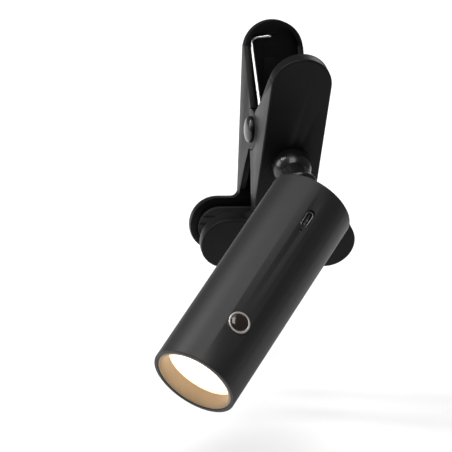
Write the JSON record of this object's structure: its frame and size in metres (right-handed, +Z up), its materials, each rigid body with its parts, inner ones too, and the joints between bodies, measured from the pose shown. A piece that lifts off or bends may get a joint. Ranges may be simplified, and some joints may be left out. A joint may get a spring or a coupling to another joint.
{
  "type": "clip-on reading lamp",
  "caption": "Cordless reading lamp: a round lamp head with a button and charging port, on a ball neck fixed to a sprung two-lever clip.",
  "frame": {"origin": "middle of the front pad's gripping face, which lies against the front of the shelf or board", "axes": "+Y out of the front pad into the shelf, +Z up along the clip towards its handles, +X across the clip"},
  "size_m": [0.1174, 0.1728, 0.1352],
  "materials": {
    "lever_plastic": "fine matt moulded",
    "grip_rubber": "matt",
    "pin_steel": "bright",
    "spring_steel": "bright drawn wire",
    "gloss_black": "gloss",
    "washer_nylon": "natural",
    "screw_steel": "zinc plated",
    "head_black": "fine matt black coating",
    "seat_plastic": "smooth",
    "cell_wrap": "shrink sleeve",
    "cradle_plastic": "natural",
    "board_green": "solder mask",
    "chip_black": "moulded",
    "port_steel": "plated",
    "port_tongue": "moulded",
    "light_guide": "clear, smoked",
    "ring_nickel": "satin nickel",
    "button_gloss": "gloss",
    "bare_aluminium": "machined",
    "board_white": "white solder mask",
    "phosphor": "phosphor",
    "reflector_white": "white",
    "lens_diffuser": "opal",
    "bezel_metal": "satin"
  },
  "bodies": {
    "front_clip": {"front_lever": "lever_plastic", "front_pad": "grip_rubber", "pivot_pin": "pin_steel", "left_pin_cap": "gloss_black", "right_pin_cap": "gloss_black", "spring_front_leg": "spring_steel", "dome_base": "gloss_black", "friction_washer": "washer_nylon", "spring_washer": "screw_steel"},
    "rear_clip": {"rear_lever": "lever_plastic", "rear_pad": "grip_rubber", "spring_coil": "spring_steel"},
    "neck": {"neck_screw": "screw_steel", "neck_collar": "gloss_black", "ball_stud": "pin_steel"},
    "ball_liner": {"ball_seat": "seat_plastic"},
    "head": {"head_tube": "head_black", "rear_cap": "seat_plastic", "seat_retainer": "bare_aluminium", "cap_screws": "screw_steel", "battery_cell": "cell_wrap", "battery_cradle": "cradle_plastic", "main_board": "board_green", "charge_chip": "chip_black", "boost_choke": "chip_black", "indicator_led": "phosphor", "light_pipe": "light_guide", "usb_shell": "port_steel", "usb_tongue": "port_tongue", "tactile_switch": "chip_black", "button_ring": "ring_nickel", "heat_sink": "bare_aluminium", "led_board": "board_white", "led_emitter": "phosphor", "reflector": "reflector_white", "lens_gasket": "grip_rubber", "lens": "lens_diffuser", "bezel_ring": "bezel_metal"},
    "button": {"button_cap": "button_gloss"}
  },
  "joints": [
    {"name": "clip_open", "type": "hinge", "parent": "front_clip", "child": "rear_clip", "pos_m": [0, 0.008, 0.05251], "axis": [1, 0, 0], "range_deg": [-14, 28], "stiffness_Nm_per_rad": 0.5, "springref_deg": -74.48, "deforming": ["spring_coil"]},
    {"name": "neck_swivel", "type": "hinge", "parent": "front_clip", "child": "neck", "pos_m": [0, -0.0518, 0.03555], "axis": [0, -0.9833, -0.1822], "continuous": true},
    {"name": "head_tilt", "type": "hinge", "parent": "neck", "child": "ball_liner", "pos_m": [0, -0.0518, 0.03555], "axis": [0.5577, 0.1513, -0.8161], "range_deg": [-46.1, 8.9]},
    {"name": "head_turn", "type": "hinge", "parent": "ball_liner", "child": "head", "pos_m": [0, -0.0518, 0.03555], "axis": [-0.5981, -0.6086, -0.5215], "continuous": true},
    {"name": "button_press", "type": "slide", "parent": "head", "child": "button", "axis": [-0.1488, 0.7237, -0.6739], "range_m": [0, 0.0008], "stiffness_N_per_m": 300, "springref_m": -0.0008}
  ]
}
